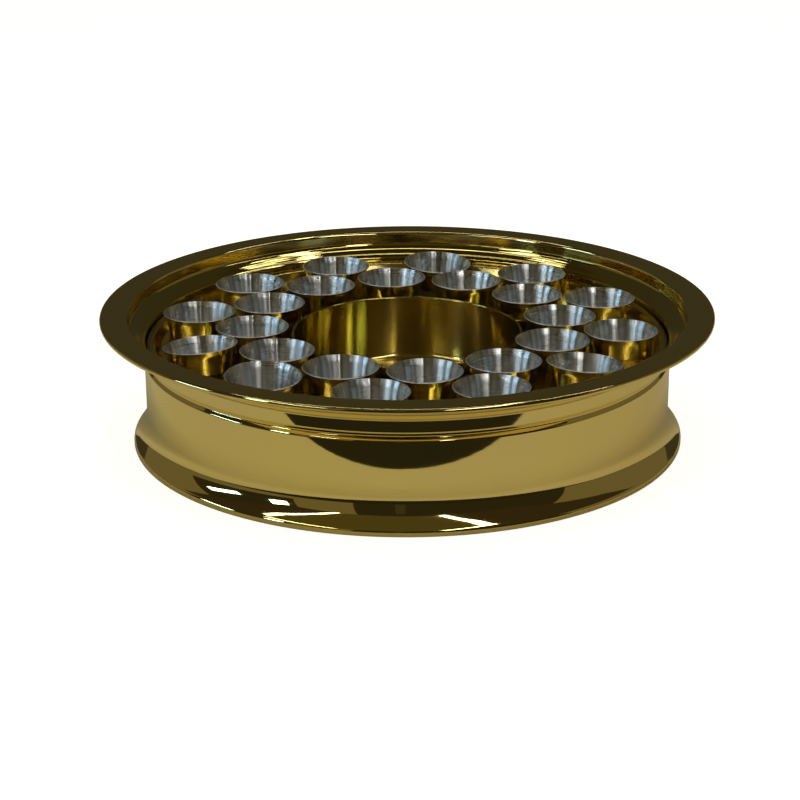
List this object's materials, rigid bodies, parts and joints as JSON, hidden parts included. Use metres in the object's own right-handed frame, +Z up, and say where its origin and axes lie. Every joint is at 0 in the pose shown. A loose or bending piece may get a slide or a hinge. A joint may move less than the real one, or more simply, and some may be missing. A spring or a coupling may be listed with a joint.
{
  "type": "communion cup tray",
  "caption": "Round metal tray with a flat rim and a stacking recess, a lift-out plate that holds tapered cups in two staggered rings, and a straight-sided bowl in the middle.",
  "frame": {"origin": "centre of the foot, on the table", "axes": "+Z up along the axis of the tray, +Y away from the picture's camera, +X to its right"},
  "size_m": [0.305, 0.305, 0.0664],
  "materials": {
    "gold": "mirror polished, gold toned",
    "cup_steel": "brushed inside, gold toned and polished outside"
  },
  "bodies": {
    "tray": {"tray_body": "gold", "floor_plate": "gold"},
    "plate": {"cup_plate": "gold"},
    "bowl": {"centre_bowl": "gold"},
    "cup_outer_01_body": {"cup_outer_01": "cup_steel"},
    "cup_outer_02_body": {"cup_outer_02": "cup_steel"},
    "cup_outer_03_body": {"cup_outer_03": "cup_steel"},
    "cup_outer_04_body": {"cup_outer_04": "cup_steel"},
    "cup_outer_05_body": {"cup_outer_05": "cup_steel"},
    "cup_outer_06_body": {"cup_outer_06": "cup_steel"},
    "cup_outer_07_body": {"cup_outer_07": "cup_steel"},
    "cup_outer_08_body": {"cup_outer_08": "cup_steel"},
    "cup_outer_09_body": {"cup_outer_09": "cup_steel"},
    "cup_outer_10_body": {"cup_outer_10": "cup_steel"},
    "cup_outer_11_body": {"cup_outer_11": "cup_steel"},
    "cup_outer_12_body": {"cup_outer_12": "cup_steel"},
    "cup_inner_01_body": {"cup_inner_01": "cup_steel"},
    "cup_inner_02_body": {"cup_inner_02": "cup_steel"},
    "cup_inner_03_body": {"cup_inner_03": "cup_steel"},
    "cup_inner_04_body": {"cup_inner_04": "cup_steel"},
    "cup_inner_05_body": {"cup_inner_05": "cup_steel"},
    "cup_inner_06_body": {"cup_inner_06": "cup_steel"},
    "cup_inner_07_body": {"cup_inner_07": "cup_steel"},
    "cup_inner_08_body": {"cup_inner_08": "cup_steel"},
    "cup_inner_09_body": {"cup_inner_09": "cup_steel"},
    "cup_inner_10_body": {"cup_inner_10": "cup_steel"},
    "cup_inner_11_body": {"cup_inner_11": "cup_steel"},
    "cup_inner_12_body": {"cup_inner_12": "cup_steel"}
  },
  "joints": [
    {"name": "plate_lift", "type": "slide", "parent": "tray", "child": "plate", "axis": [0, 0, 1], "range_m": [0, 0.06]},
    {"name": "bowl_lift", "type": "slide", "parent": "tray", "child": "bowl", "axis": [0, 0, 1], "range_m": [0, 0.06]},
    {"name": "cup_outer_01_lift", "type": "slide", "parent": "plate", "child": "cup_outer_01_body", "axis": [0, 0, 1], "range_m": [0, 0.045]},
    {"name": "cup_outer_02_lift", "type": "slide", "parent": "plate", "child": "cup_outer_02_body", "axis": [0, 0, 1], "range_m": [0, 0.045]},
    {"name": "cup_outer_03_lift", "type": "slide", "parent": "plate", "child": "cup_outer_03_body", "axis": [0, 0, 1], "range_m": [0, 0.045]},
    {"name": "cup_outer_04_lift", "type": "slide", "parent": "plate", "child": "cup_outer_04_body", "axis": [0, 0, 1], "range_m": [0, 0.045]},
    {"name": "cup_outer_05_lift", "type": "slide", "parent": "plate", "child": "cup_outer_05_body", "axis": [0, 0, 1], "range_m": [0, 0.045]},
    {"name": "cup_outer_06_lift", "type": "slide", "parent": "plate", "child": "cup_outer_06_body", "axis": [0, 0, 1], "range_m": [0, 0.045]},
    {"name": "cup_outer_07_lift", "type": "slide", "parent": "plate", "child": "cup_outer_07_body", "axis": [0, 0, 1], "range_m": [0, 0.045]},
    {"name": "cup_outer_08_lift", "type": "slide", "parent": "plate", "child": "cup_outer_08_body", "axis": [0, 0, 1], "range_m": [0, 0.045]},
    {"name": "cup_outer_09_lift", "type": "slide", "parent": "plate", "child": "cup_outer_09_body", "axis": [0, 0, 1], "range_m": [0, 0.045]},
    {"name": "cup_outer_10_lift", "type": "slide", "parent": "plate", "child": "cup_outer_10_body", "axis": [0, 0, 1], "range_m": [0, 0.045]},
    {"name": "cup_outer_11_lift", "type": "slide", "parent": "plate", "child": "cup_outer_11_body", "axis": [0, 0, 1], "range_m": [0, 0.045]},
    {"name": "cup_outer_12_lift", "type": "slide", "parent": "plate", "child": "cup_outer_12_body", "axis": [0, 0, 1], "range_m": [0, 0.045]},
    {"name": "cup_inner_01_lift", "type": "slide", "parent": "plate", "child": "cup_inner_01_body", "axis": [0, 0, 1], "range_m": [0, 0.045]},
    {"name": "cup_inner_02_lift", "type": "slide", "parent": "plate", "child": "cup_inner_02_body", "axis": [0, 0, 1], "range_m": [0, 0.045]},
    {"name": "cup_inner_03_lift", "type": "slide", "parent": "plate", "child": "cup_inner_03_body", "axis": [0, 0, 1], "range_m": [0, 0.045]},
    {"name": "cup_inner_04_lift", "type": "slide", "parent": "plate", "child": "cup_inner_04_body", "axis": [0, 0, 1], "range_m": [0, 0.045]},
    {"name": "cup_inner_05_lift", "type": "slide", "parent": "plate", "child": "cup_inner_05_body", "axis": [0, 0, 1], "range_m": [0, 0.045]},
    {"name": "cup_inner_06_lift", "type": "slide", "parent": "plate", "child": "cup_inner_06_body", "axis": [0, 0, 1], "range_m": [0, 0.045]},
    {"name": "cup_inner_07_lift", "type": "slide", "parent": "plate", "child": "cup_inner_07_body", "axis": [0, 0, 1], "range_m": [0, 0.045]},
    {"name": "cup_inner_08_lift", "type": "slide", "parent": "plate", "child": "cup_inner_08_body", "axis": [0, 0, 1], "range_m": [0, 0.045]},
    {"name": "cup_inner_09_lift", "type": "slide", "parent": "plate", "child": "cup_inner_09_body", "axis": [0, 0, 1], "range_m": [0, 0.045]},
    {"name": "cup_inner_10_lift", "type": "slide", "parent": "plate", "child": "cup_inner_10_body", "axis": [0, 0, 1], "range_m": [0, 0.045]},
    {"name": "cup_inner_11_lift", "type": "slide", "parent": "plate", "child": "cup_inner_11_body", "axis": [0, 0, 1], "range_m": [0, 0.045]},
    {"name": "cup_inner_12_lift", "type": "slide", "parent": "plate", "child": "cup_inner_12_body", "axis": [0, 0, 1], "range_m": [0, 0.045]}
  ]
}
